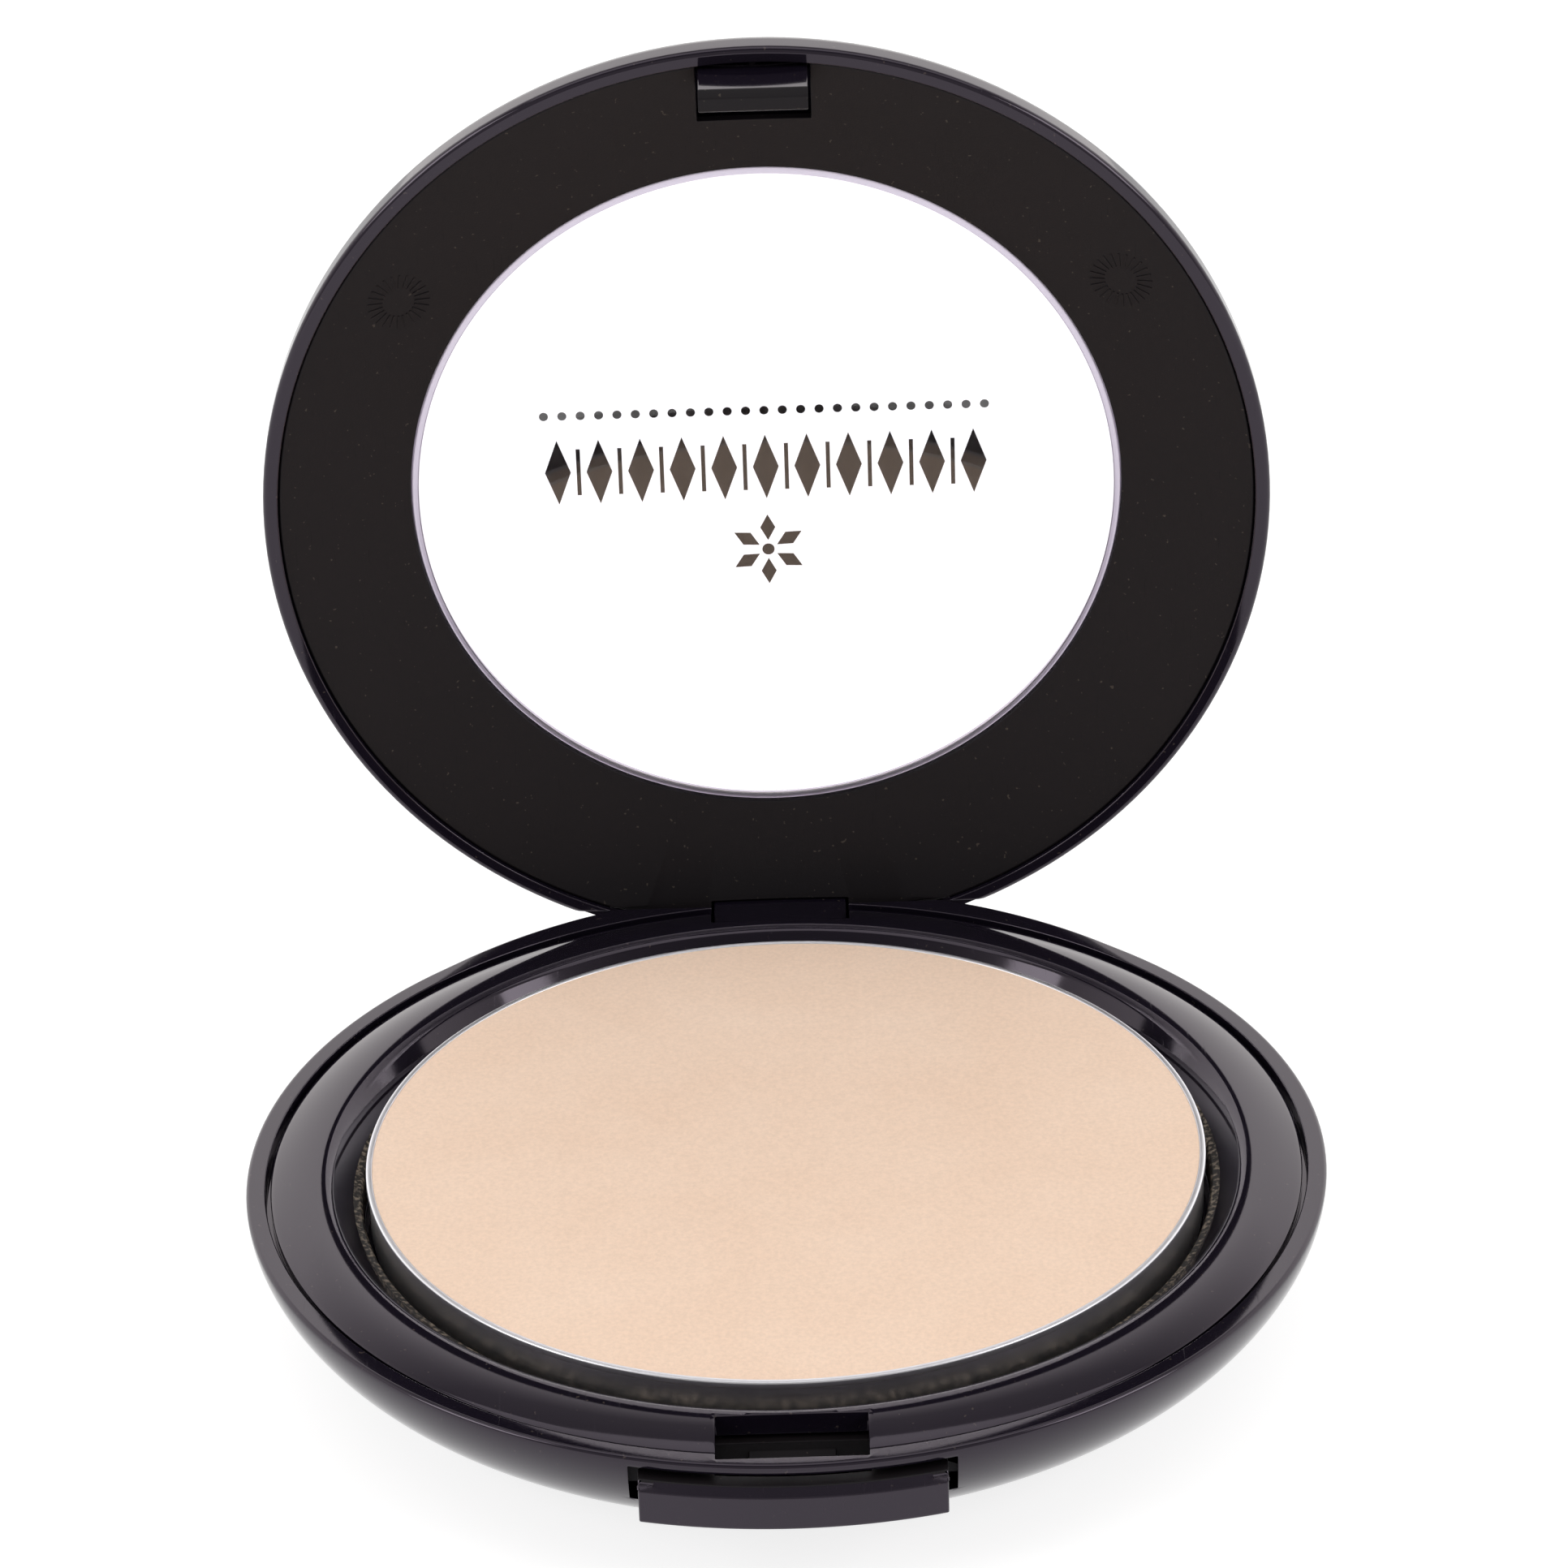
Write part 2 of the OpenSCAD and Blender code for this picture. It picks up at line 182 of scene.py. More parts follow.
def rod(radius, x0, x1, y, z, steps=48):
    """A cylinder along X."""
    pick()
    bpy.ops.mesh.primitive_cylinder_add(vertices=steps, radius=radius, depth=x1 - x0,
                                        location=((x0 + x1) / 2, y, z), rotation=(0, math.pi / 2, 0))
    piece = added("rod")
    bpy.ops.object.transform_apply(location=True, rotation=True, scale=True)
    return piece


def combine(piece, others, operation="DIFFERENCE"):
    """Cut the others from a piece, or add them to it, one boolean at a time."""
    for other in others:
        modifier = piece.modifiers.new(operation, "BOOLEAN")
        modifier.operation, modifier.solver, modifier.object = operation, "EXACT", other
        pick(piece)
        bpy.ops.object.modifier_apply(modifier=modifier.name)
        bpy.data.objects.remove(other)
    return piece


def round_cuts(piece, width, angle=40, segments=2):
    """Round the sharp edges that the cuts left.

    The turned roundings turn by less than the angle at each step, so they stay as they are.
    """
    pick(piece)
    bpy.ops.object.mode_set(mode="EDIT")
    bpy.ops.mesh.select_all(action="SELECT")
    bpy.ops.mesh.remove_doubles(threshold=0.01)
    bpy.ops.mesh.dissolve_degenerate(threshold=0.005)
    bpy.ops.object.mode_set(mode="OBJECT")
    modifier = piece.modifiers.new("Edges", "BEVEL")
    modifier.width, modifier.segments = width, segments
    modifier.limit_method, modifier.angle_limit = "ANGLE", math.radians(angle)
    modifier.use_clamp_overlap = False
    modifier.miter_outer = "MITER_ARC"
    bpy.ops.object.modifier_apply(modifier=modifier.name)
    return piece


def opened(piece):
    """Turn a piece of the lid, shaped as it lies closed, up to where the CAD has it at rest."""
    pick(piece)
    piece.matrix_world = (Matrix.Translation(hinge) @ Matrix.Rotation(-open_turn, 4, "X")
                          @ Matrix.Translation(-hinge))
    bpy.ops.object.transform_apply(location=True, rotation=True, scale=True)
    return piece


def finish_part(piece, material, belongs):
    """Give a second finish to the faces whose middle, in millimetres, passes the test."""
    piece.data.materials.append(material)
    second = len(piece.data.materials) - 1
    for face in piece.data.polygons:
        if belongs(face.center / MM):
            face.material_index = second


def finished(piece, body, slot, material, *nodes, smooth=35):
    """Bring a piece to metres, smooth it, and hand it to the frame."""
    pick(piece)
    bpy.ops.transform.resize(value=(MM, MM, MM), center_override=(0, 0, 0))
    bpy.ops.object.transform_apply(location=True, rotation=True, scale=True)
    bpy.ops.object.shade_smooth_by_angle(angle=math.radians(smooth))
    weighted = piece.modifiers.new("Even shading", "WEIGHTED_NORMAL")
    weighted.keep_sharp = True
    bpy.ops.object.modifier_apply(modifier=weighted.name)
    piece.data.materials.clear()
    piece.data.materials.append(material)
    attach(piece, body)
    if nodes:
        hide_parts(*nodes)
    size = [round(v / MM, 1) for v in piece.dimensions]
    print(f"{piece.name}: {size} mm, {len(piece.data.polygons)} faces")
    return piece


# %% [markdown]
# ## Camera
# The camera stands in front of the compact and a little above it, far enough for a long
# lens, so the round shapes keep their proportions. It is rolled by under two degrees.

# %% Camera
def place_camera(azimuth, elevation, roll, distance, shift, lens):
    a, e, r = (math.radians(v) for v in (azimuth, elevation, roll))
    back = Vector((math.sin(a) * math.cos(e), -math.cos(a) * math.cos(e), math.sin(e)))
    right = Vector((math.cos(a), math.sin(a), 0))
    up = back.cross(right)
    right, up = right * math.cos(r) + up * math.sin(r), up * math.cos(r) - right * math.sin(r)
    place = Vector((0, 0, rim_z)) - right * shift[0] - up * shift[1] + back * distance
    camera = bpy.data.objects.new("Camera", bpy.data.cameras.new("Camera"))
    bpy.context.scene.collection.objects.link(camera)
    camera.matrix_world = Matrix.Translation(place * MM) @ Matrix((right, up, back)).transposed().to_4x4()
    camera.data.lens, camera.data.sensor_width = lens, 36
    camera.data.clip_start, camera.data.clip_end = 0.01, 20
    bpy.context.scene.camera = camera
    print("camera at", [round(v, 4) for v in camera.location])


place_camera(azimuth=0.22, elevation=28.54, roll=-1.86, distance=475, shift=(0.1225, -26.475), lens=155.03)

# %% [markdown]
# ## Studio
# A product shot like this stands on a white sweep in a bright tent. The glossy black
# plastic mirrors the tent, so the light is a world that is brightest behind the compact
# and dims straight above it. One soft box overhead lights the powder, and one on each
# side in front lights the bowl. The floor is plain white paper.


# %% Nodes and colours
def linear(hex_colour):
    """Turn an sRGB hex colour into the linear values that Blender mixes."""
    parts = [int(hex_colour[i:i + 2], 16) / 255 for i in (1, 3, 5)]
    return tuple(p / 12.92 if p <= 0.04045 else ((p + 0.055) / 1.055) ** 2.4 for p in parts) + (1.0,)


def node(tree, kind, settings=None, links=None):
    """Add one node. Settings are its own options or values of its inputs, and links feed its inputs."""
    made = tree.nodes.new(kind)
    for name, value in (settings or {}).items():
        if isinstance(name, int) or (name in made.inputs and not hasattr(made, name)):
            made.inputs[name].default_value = value
        else:
            setattr(made, name, value)
    for name, source in (links or {}).items():
        tree.links.new(source, made.inputs[name])
    return made


def noise(tree, at, cell_mm, detail=2.0, roughness=0.5):
    """A cloudy pattern with cells about so many millimetres wide."""
    settings = {"Scale": 1 / (cell_mm * MM), "Detail": detail, "Roughness": roughness}
    return node(tree, "ShaderNodeTexNoise", settings, at).outputs["Fac"]


def streaks(tree, at, cells_mm, rotation=(0, 0, 0), detail=4.0):
    """A cloudy pattern with cells of another size along each axis."""
    settings = {"Rotation": rotation, "Scale": tuple(1 / (cell * MM) for cell in cells_mm)}
    drawn = node(tree, "ShaderNodeMapping", settings, at)
    return node(tree, "ShaderNodeTexNoise", {"Scale": 1.0, "Detail": detail},
                {"Vector": drawn.outputs["Vector"]}).outputs["Fac"]


def remap(tree, value, from_range=(0.0, 1.0), to_range=(0.0, 1.0)):
    """Bring a value from one range to another."""
    settings = {"From Min": from_range[0], "From Max": from_range[1],
                "To Min": to_range[0], "To Max": to_range[1]}
    return node(tree, "ShaderNodeMapRange", settings, {"Value": value}).outputs["Result"]


def bump(tree, height, strength, depth_mm, under=None):
    """Relief from a pattern, laid over another relief if one is given."""
    links = {"Height": height}
    if under is not None:
        links["Normal"] = under
    return node(tree, "ShaderNodeBump", {"Strength": strength, "Distance": depth_mm * MM},
                links).outputs["Normal"]


def mix(tree, factor, first, second, blend_type="MIX"):
    """Mix two colours. The factor and the colours are values or outputs of other nodes."""
    made = node(tree, "ShaderNodeMix", {"data_type": "RGBA", "blend_type": blend_type})
    for place, value in ((0, factor), (6, first), (7, second)):
        if isinstance(value, bpy.types.NodeSocket):
            tree.links.new(value, made.inputs[place])
        else:
            made.inputs[place].default_value = value
    return made.outputs[2]


def surface(tree, settings, links):
    """End a material with its shader and its output."""
    shader = node(tree, "ShaderNodeBsdfPrincipled", settings, links)
    node(tree, "ShaderNodeOutputMaterial", links={"Surface": shader.outputs["BSDF"]})


def new_material(name):
    """A new material, its tree, and the link that gives a texture the object's coordinates."""
    material = bpy.data.materials.new(name)
    material.use_nodes = True
    tree = material.node_tree
    tree.nodes.clear()
    place = node(tree, "ShaderNodeTexCoord")
    return material, tree, {"Vector": place.outputs["Object"]}


# %% World, lights and floor
scene = bpy.context.scene
scene.view_settings.view_transform = "Standard"
world = bpy.data.worlds.new("Light tent")
scene.world = world
world.use_nodes = True
tree = world.node_tree
tree.nodes.clear()
place = node(tree, "ShaderNodeTexCoord")
axes = node(tree, "ShaderNodeSeparateXYZ", links={"Vector": place.outputs["Generated"]})
back_wall = remap(tree, axes.outputs["Y"], (-0.6, 0.7), (0.5, 1.75))
ceiling = remap(tree, axes.outputs["Z"], (0.56, 0.82), (1.0, 0.3))
strength = node(tree, "ShaderNodeMath", {"operation": "MULTIPLY"}, {0: back_wall, 1: ceiling})
tent = node(tree, "ShaderNodeBackground", {"Color": linear("#fffcfa")},
            {"Strength": strength.outputs["Value"]})
node(tree, "ShaderNodeOutputWorld", links={"Surface": tent.outputs["Background"]})


def soft_box(name, place, size, power, aim=(0, 0, 0.02)):
    light = bpy.data.objects.new(name, bpy.data.lights.new(name, "AREA"))
    bpy.context.scene.collection.objects.link(light)
    light.data.shape, light.data.size, light.data.size_y = "RECTANGLE", *size
    light.data.energy = power
    light.location = place
    light.rotation_euler = (Vector(aim) - Vector(place)).to_track_quat("-Z", "Y").to_euler()


soft_box("Overhead", place=(0, 0.0, 0.9), size=(1.3, 0.5), power=2.4)
for side, sign in (("Left", -1), ("Right", 1)):
    soft_box(f"{side} front", place=(sign * 0.9, -0.35, 0.62), size=(0.5, 0.5), power=3.1)

# The floor lies just under the foot, because two faces in one plane would speckle.
floor_gap = 0.05
pick()
bpy.ops.mesh.primitive_plane_add(size=6, location=(0, 1.2, -floor_gap * MM))
floor = added("Floor")
bpy.ops.object.transform_apply(location=True, rotation=True, scale=True)
paper, tree, at = new_material("white_studio_paper")
fibre = noise(tree, at, 1 / 0.9, detail=3.0)
surface(tree, {"Base Color": linear("#9c9c9c"), "Roughness": 0.9, "Emission Color": linear("#ffffff"),
               "Emission Strength": 0.8}, {"Normal": bump(tree, fibre, 0.03, 0.1)})
floor.data.materials.append(paper)
print("studio ready")


# %% [markdown]
# ## Black plastic
# The base, the frame and the lid are injection moulded in black ABS from a polished tool.
# Such a skin is a near mirror: the base colour is almost black with a touch of violet
# from the pigment, and what shows is the reflection. Polished mouldings still have a
# slow waviness from shrinkage, hairline scratches from handling, and a few dust specks.

# %% Glossy black plastic
def plastic(name, dark, light, roughness, wave, grain_mm, grain, dust, specks=(0.735, 0.78), tint="#f2e4f5"):
    """A moulded black plastic, from mirror-like to spark-eroded matt by its roughness and grain.

    Dust sets in where a fine noise passes the first of the limits in specks, and is full at
    the second.
    """
    material, tree, at = new_material(name)
    slow = noise(tree, at, 9)
    hair = streaks(tree, at, (0.12, 6, 2), rotation=(0.3, 0.2, 0.6), detail=2.0)
    scratch = remap(tree, hair, (0.66, 0.74))
    rub = remap(tree, scratch, to_range=(roughness, roughness + 0.12))
    waves = bump(tree, slow, wave, 0.2)
    skin = bump(tree, noise(tree, at, grain_mm, detail=4.0), grain, 0.02, waves)
    settled = remap(tree, noise(tree, at, 0.35, detail=1.0), specks, (0.0, dust))
    shade = mix(tree, slow, linear(dark), linear(light))
    dusted = mix(tree, settled, shade, linear("#b9a894"))
    surface(tree, {"IOR": 1.53, "Specular Tint": linear(tint)},
            {"Base Color": dusted, "Roughness": rub, "Normal": skin})
    return material


gloss_abs = plastic("black_abs_polished_mould", "#100d15", "#14101a", roughness=0.07, wave=0.03,
                    grain_mm=0.25, grain=0.02, dust=0.07)
satin_abs = plastic("black_abs_satin_button", "#15121a", "#1a161f", roughness=0.24, wave=0.03,
                    grain_mm=0.12, grain=0.12, dust=0.04)
# The matt black is the liner's own finish, and it is also painted shade: on the button's hidden faces and on
# the hook, its darker colour and dimmed reflection stand in for the shade under the rim.
matt_abs_and_painted_shade = plastic("black_abs_spark_eroded_and_painted_shade", "#0f0c0e", "#130f11", roughness=0.5, wave=0.02,
                   grain_mm=0.14, grain=0.4, dust=0.08, tint="#aaa9ae")
dusted_abs = plastic("black_abs_with_powder_dust", "#0b0908", "#17120e", roughness=0.5, wave=0.03,
                     grain_mm=0.3, grain=0.3, dust=0.5, specks=(0.48, 0.68), tint="#a8a099")
print("plastics:", gloss_abs.name, satin_abs.name, matt_abs_and_painted_shade.name)

# %% [markdown]
# ## Other finishes
# The pan is drawn from thin aluminium sheet. The cake is face powder pressed through a
# ribbon, so it has the finest of grains and soft clouds in its colour. The window is
# clear polystyrene, the ornament is screen-printed ink, and the pin and spring are steel.


# %% Aluminium, powder, window, ink, steel, label and glue
def metal(name, colour, roughness, stretch_mm, strength):
    """A bare metal with a directional grain from how it was worked."""
    material, tree, at = new_material(name)
    grain = streaks(tree, at, stretch_mm)
    rub = remap(tree, grain, to_range=(roughness - 0.06, roughness + 0.12))
    surface(tree, {"Base Color": linear(colour), "Metallic": 1.0},
            {"Roughness": rub, "Normal": bump(tree, grain, strength, 0.01)})
    return material


drawn_aluminium = metal("drawn_aluminium_sheet", "#dcdce0", 0.34, (1.5, 1.5, 0.08), 0.08)
ground_steel = metal("ground_steel_rod", "#b9bcc2", 0.22, (2.0, 0.06, 0.06), 0.2)
rolled_steel = metal("rolled_spring_steel", "#a9adb5", 0.3, (1.2, 1.2, 0.05), 0.2)

powder, tree, at = new_material("pressed_face_powder")
clouds = noise(tree, at, 11, detail=4.0, roughness=0.6)
grain = noise(tree, at, 0.35, detail=6.0, roughness=0.7)
tone = mix(tree, clouds, linear("#e6c8b0"), linear("#efd6c1"))
speckle = remap(tree, grain, (0.35, 0.65), (0.94, 1.05))
surface(tree, {"Roughness": 0.85, "IOR": 1.45, "Specular IOR Level": 0.25, "Sheen Weight": 0.08,
               "Sheen Roughness": 0.5},
        {"Base Color": mix(tree, 1.0, tone, speckle, "MULTIPLY"), "Normal": bump(tree, grain, 0.35, 0.05)})


def clear_plastic(name, colour, roughness):
    """Clear polystyrene, polished or satin."""
    material, tree, at = new_material(name)
    flow = noise(tree, at, 14, detail=1.0)
    surface(tree, {"Base Color": linear(colour), "Roughness": roughness, "IOR": 1.59,
                   "Transmission Weight": 1.0}, {"Normal": bump(tree, flow, 0.02, 0.1)})
    return material


clear = clear_plastic("clear_polystyrene_polished", "#fdfcff", 0.015)
# Painted reflection: a lilac grey tint on the window's edge stands in for the light that bounces inside the
# clear edge.
lens_edge_painted_reflection = clear_plastic("clear_polystyrene_painted_edge_reflection", "#a99db4", 0.5)

ink, tree, at = new_material("screen_printed_ink")
mesh_mark = noise(tree, at, 0.18)
surface(tree, {"Roughness": 0.7, "IOR": 1.45},
        {"Base Color": mix(tree, mesh_mark, linear("#140d0a"), linear("#1f1611"))})

# The label has one printed ring a little inside its edge.
film, tree, at = new_material("satin_label_film")
axes = node(tree, "ShaderNodeSeparateXYZ", links=at)
flat = node(tree, "ShaderNodeCombineXYZ", links={"X": axes.outputs["X"], "Y": axes.outputs["Y"]})
far = node(tree, "ShaderNodeVectorMath", {"operation": "LENGTH"}, {0: flat.outputs["Vector"]})
ring = node(tree, "ShaderNodeMath", {"operation": "COMPARE", 1: (label_r - 1.1) * MM, 2: 0.09 * MM},
            {0: far.outputs["Value"]})
orange_peel = noise(tree, at, 0.6)
surface(tree, {"Roughness": 0.35, "IOR": 1.5},
        {"Base Color": mix(tree, ring.outputs["Value"], linear("#d9d8d4"), linear("#4a4648")),
         "Normal": bump(tree, orange_peel, 0.08, 0.03)})

glue, tree, at = new_material("dried_contact_glue")
strings = noise(tree, at, 0.8, detail=3.0)
surface(tree, {"Roughness": 0.3, "IOR": 1.48},
        {"Base Color": mix(tree, strings, linear("#d8cc9e"), linear("#efe7c8"))})
print(len(bpy.data.materials), "materials")

# %% [markdown]
# ## Base shell
# The base is a shallow bowl with a flat foot. Its outside is fuller than a circle's arc,
# which is drawn as a superellipse. Inside, a ledge below the rim carries the inner frame.
# At the back the wall swells out round the hinge pin, and the back is cut flat so that the
# lid can swing. The cuts are booleans, and their edges are rounded afterwards.


# %% Base shell
def bowl(r_foot, r_top, z_foot, z_top, steps=28, power=1.65):
    """Outline of a bowl from its top edge down to its foot."""
    turns = [math.radians(90 * k / steps) for k in range(steps + 1)]
    return [(r_foot + (r_top - r_foot) * math.cos(t) ** (2 / power),
             z_top - (z_top - z_foot) * math.sin(t) ** (2 / power)) for t in turns]


foot_r, floor_t, frame_z = base_r - 11.45, 1.4, box_mm("inner_frame")[0].z
support_r = pan_r - 4.3
outside = bowl(foot_r, base_r, 0, rim_z - 0.5)
inside = bowl(foot_r - 0.5, rim_in_r - 1.3, floor_t, ledge_z)[::-1]
top = soften([(rim_in_r, ledge_z), (rim_in_r, rim_z, 0.08), (base_r, rim_z, 0.3), (base_r, rim_z - 0.5)])
support = [(support_r - 1.2, floor_t), (support_r - 1.2, frame_z), (support_r, frame_z), (support_r, floor_t)]
base_shell = turned("base_moulding", outside + [(0, 0), (0, floor_t)] + support + inside + top[:-1])

# %% [markdown]
# The wall swells out at the back to cover the pin. The swell is the same curve, 2.57 mm
# smaller and moved back by 3.45 mm, so each point of the wall that lies inside it is pushed
# out to it. Near the foot the swell's curve shrinks, so that it runs out. A boss behind the
# wall takes the pin.

# %% Swell over the hinge pin
def wall_r(z):
    """Radius of the outside wall at a height."""
    for (r0, z0), (r1, z1) in zip(outside, outside[1:]):
        if z1 <= z <= z0:
            return r0 + (r1 - r0) * (z0 - z) / (z0 - z1)
    return base_r


swell_in, swell_y, swell_low, swell_taper = 2.57, 3.45, hinge.z - 2.55, 2.8
swell_from_y, skin_t, boss_w = 20, 0.4, 18
relief = hinge.y - 1.6
moved = 0
for vertex in base_shell.data.vertices:
    point = vertex.co
    r, wall = math.hypot(point.x, point.y), wall_r(point.z)
    if point.y < swell_from_y or r < wall - skin_t or point.z < swell_low - 1:
        continue
    circle = wall - swell_in - max(0, swell_low - point.z) * swell_taper
    reach = swell_y * point.y / r + math.sqrt(circle ** 2 - (swell_y * point.x / r) ** 2)
    if reach > wall:
        point.xy *= (r + reach - wall) / r
        moved += 1
print(moved, "points of the wall moved for the swell")
boss = mid_block(boss_w, relief, hinge.y + 0.6, hinge.z - 1.8, ledge_z + 0.5)
combine(base_shell, [boss], "UNION")

# %% Cuts in the base shell
notch_w, lug_room_w, knuckle_w, slot_w = 21.7, 25.1, 10.3, 10.15
across = 60  # more than the width of anything that a cut has to cross
pin_hole_r, pin_hole_start, pin_hole_end = 0.65, -12.5, 20.5
pick()
bpy.ops.mesh.primitive_cylinder_add(vertices=TURN_STEPS, radius=rim_in_r, depth=5,
                                    location=(0, 0, ledge_z + 2.5))
seat = added("seat")
pick()
bpy.ops.mesh.primitive_cylinder_add(vertices=128, radius=label_r + 0.1, depth=2,
                                    location=(0, 0, label_top - 1))
label_seat = added("label_seat")
back_y = base_r - 1.1
pick()
bpy.ops.mesh.primitive_cube_add(size=1, location=(0, back_y, rim_z), rotation=(math.pi / 4, 0, 0),
                                scale=(across, 0.4 * math.sqrt(2), 4))
ease = added("ease")
combine(base_shell, [
    seat,
    mid_block(across, back_y, base_r + 5, -1, rim_z + 1),
    ease,
    mid_block(knuckle_w, relief, base_r + 5, hinge.z - 1.65, rim_z + 1),
    rod(pin_hole_r, pin_hole_start, pin_hole_end, hinge.y, hinge.z),
    mid_block(notch_w, -base_r - 5, -base_r + 5.05, button_low.z - 0.15, rim_z - 0.75),
    mid_block(lug_room_w, -base_r + 4.05, -pan_r + 2, button_low.z - 0.15, ledge_z + 1),
    mid_block(slot_w, -rim_in_r - 0.3, -pan_r, rim_z - 1.75, rim_z + 1),
    label_seat,
])
round_cuts(base_shell, 0.07)
finished(base_shell, "base", "gloss_black_plastic", gloss_abs, "base_shell")

# %% [markdown]
# ## Inner frame
# One moulding makes the broad glossy band, the raised lip round the powder and the well
# that the pan is glued into. Its band is crowned: it climbs from the rim to the crest, rolls
# over, and falls steeply to the pan.

# %% Inner frame
well_r, well_z = pan_r + 0.35, frame_z + 1
crest_r, roll_r, slope = lip_r + 0.45, 1.15, 48
crown_steps, crown_drop = 16, 0.75
crown = []
for k in range(crown_steps):
    out = 1 - k / crown_steps
    crown.append((crest_r + (frame_r - 0.15 - crest_r) * out, lip_z - crown_drop * out ** 2))
edge = soften([
    (0, well_z), (0, frame_z), (well_r + 1.15, frame_z), (well_r + 1.15, ledge_z - 0.3),
    (well_r + 1.45, ledge_z), (frame_r, ledge_z), (frame_r, rim_z - 0.25, 0.06), crown[0]])[:-1]
roll = arc(crest_r, lip_z - roll_r, roll_r, roll_r, 90, 90 + slope, 12)
well = soften([
    (well_r + 1.2, rim_z - 0.55), (well_r + 0.6, rim_z - 1.22, 0.2), (well_r + 0.15, rim_z - 1.35, 0.1),
    (well_r, rim_z - 1.55, 0.08), (well_r, well_z)])[1:]
inner_frame = turned("inner_frame_moulding", edge + crown + roll + well)
combine(inner_frame, [
    mid_block(slot_w, -rim_in_r - 1.3, -frame_r + 3.5, ledge_z - 1, rim_z + 2),
    mid_block(knuckle_w, relief, base_r, ledge_z - 1, rim_z + 2),
])
round_cuts(inner_frame, 0.08)
finished(inner_frame, "base", "gloss_black_plastic", gloss_abs, "inner_frame")
# Loose powder clings to the wall of the well and to the foot of the slope.
finish_part(inner_frame, dusted_abs,
            lambda at: math.hypot(at.x, at.y) < well_r + 0.75 and at.z > well_z + 0.1)

# %% [markdown]
# ## Pan and powder
# The pan is a shallow dish of thin sheet with its edge rolled outwards. The pressed cake
# fills it and rises a hair above the edge. Its top is a very low dome.

# %% Pan and powder
metal_t, bead = 0.3, 0.15
pan_in_r = pan_r - bead - metal_t
pan = turned("powder_pan_drawn", soften([
    (0, pan_low), (pan_r - bead, pan_low, 0.5), (pan_r - bead, pan_top - 0.6),
    (pan_r, pan_top - 0.45, 0.05), (pan_r, pan_top, 0.13), (pan_in_r, pan_top, 0.08),
    (pan_in_r, pan_low + metal_t, 0.3), (0, pan_low + metal_t)]))
finished(pan, "base", "pan_metal", drawn_aluminium, "powder_pan")

edge_z = pan_top - 0.05
dome = arc(0, edge_z, pan_in_r, cake_top - edge_z, 0, 90, 90)
cake_foot = [(0, pan_low + metal_t), (pan_in_r - 0.4, pan_low + metal_t)]
cake = turned("pressed_powder_cake", cake_foot + dome, 256)
finished(cake, "base", "powder", powder, "pressed_powder", smooth=60)

# %% [markdown]
# ## Push button
# The button's plate is an arc of the same curve as the base, a little proud of it. Its top
# edge slopes so that a finger slides onto it. Behind the plate a loop carries a bar with
# a tongue that catches the hook, and two lugs keep the button in.

# %% Push button
def from_side(name, side, width):
    """Draw a side outline of (y, z) corners as a face and extrude it along X."""
    pick()
    bpy.ops.mesh.primitive_plane_add(size=1)
    piece = added(name)
    bpy.ops.object.mode_set(mode="EDIT")
    bpy.ops.mesh.select_all(action="SELECT")
    bpy.ops.mesh.merge(type="CENTER")
    bpy.ops.transform.translate(value=(-width / 2, *side[0]))
    for (y0, z0), (y1, z1) in zip(side, side[1:] + side[:1]):
        bpy.ops.mesh.extrude_region_move(TRANSFORM_OT_translate={"value": (0, y1 - y0, z1 - z0)})
    bpy.ops.mesh.select_all(action="SELECT")
    bpy.ops.mesh.remove_doubles(threshold=1e-4)
    bpy.ops.mesh.edge_face_add()
    bpy.ops.mesh.extrude_region_move(TRANSFORM_OT_translate={"value": (width, 0, 0)})
    bpy.ops.mesh.select_all(action="SELECT")
    bpy.ops.mesh.normals_make_consistent(inside=False)
    bpy.ops.object.mode_set(mode="OBJECT")
    return piece


face_r, plate_in, button_w = -button_low.y, frame_r + 1, 20.4
bar_w, loop_in_w = 13.6, 10.4
slab_low, slab_top, bar_low = rim_z - 3.7, ledge_z - 0.3, ledge_z - 1.7
stop_y, bar_y, tongue_w = -base_r + 4.05, -frame_r + 3, 5.8
hook_in = bar_y - 0.2
plate = turned("button_plate", soften([
    (plate_in, button_low.z, 0.1), (face_r, button_low.z, 0.25), (face_r, button_high.z - 0.6, 0.25),
    (face_r - 0.6, button_high.z, 0.2), (plate_in, button_high.z, 0.1)]), 288)
combine(plate, [mid_block(button_w, -base_r - 5, -20, 0, rim_z)], "INTERSECT")
loop = mid_block(button_w - 0.1, -base_r + 0.3, stop_y + 0.1, slab_low, slab_top - 0.15)
combine(loop, [mid_block(notch_w + 3, stop_y + 0.05, stop_y + 0.95, slab_low, slab_top, 0.12),
               mid_block(bar_w, bar_y - 2, bar_y + 1.1, bar_low, slab_top, 0.12)], "UNION")
combine(loop, [mid_block(loop_in_w, -base_r + 0.6, bar_y, 0, rim_z),
               mid_block(loop_in_w, bar_y - 0.01, bar_y + 2, 0, bar_low)])
tongue = from_side("tongue", [
    (bar_y + 0.3, bar_low), (hook_in - 0.4, bar_low), (hook_in - 0.4, bar_low + 0.2),
    (bar_y, bar_low + 0.8), (bar_y + 0.3, bar_low + 0.8)], tongue_w)
combine(plate, [loop, tongue], "UNION")
plate.name = plate.data.name = "push_button"
round_cuts(plate, 0.1)
finished(plate, "button", "button_plastic", satin_abs, "catch_button")
# Painted shade: the faces inside the plate and the plate's top face get the darker, duller matt black, which
# stands in for the shade under the rim.
finish_part(plate, matt_abs_and_painted_shade,
            lambda at: math.hypot(at.x, at.y) < plate_in + 0.3 or at.z > button_high.z - 0.12)

# %% [markdown]
# ## Lid
# The lid's frame is one moulding with the hook at the front and the knuckle at the back.
# It is shaped as it lies closed and then turned up about the hinge. The dished liner
# covers its inside and clamps the window.

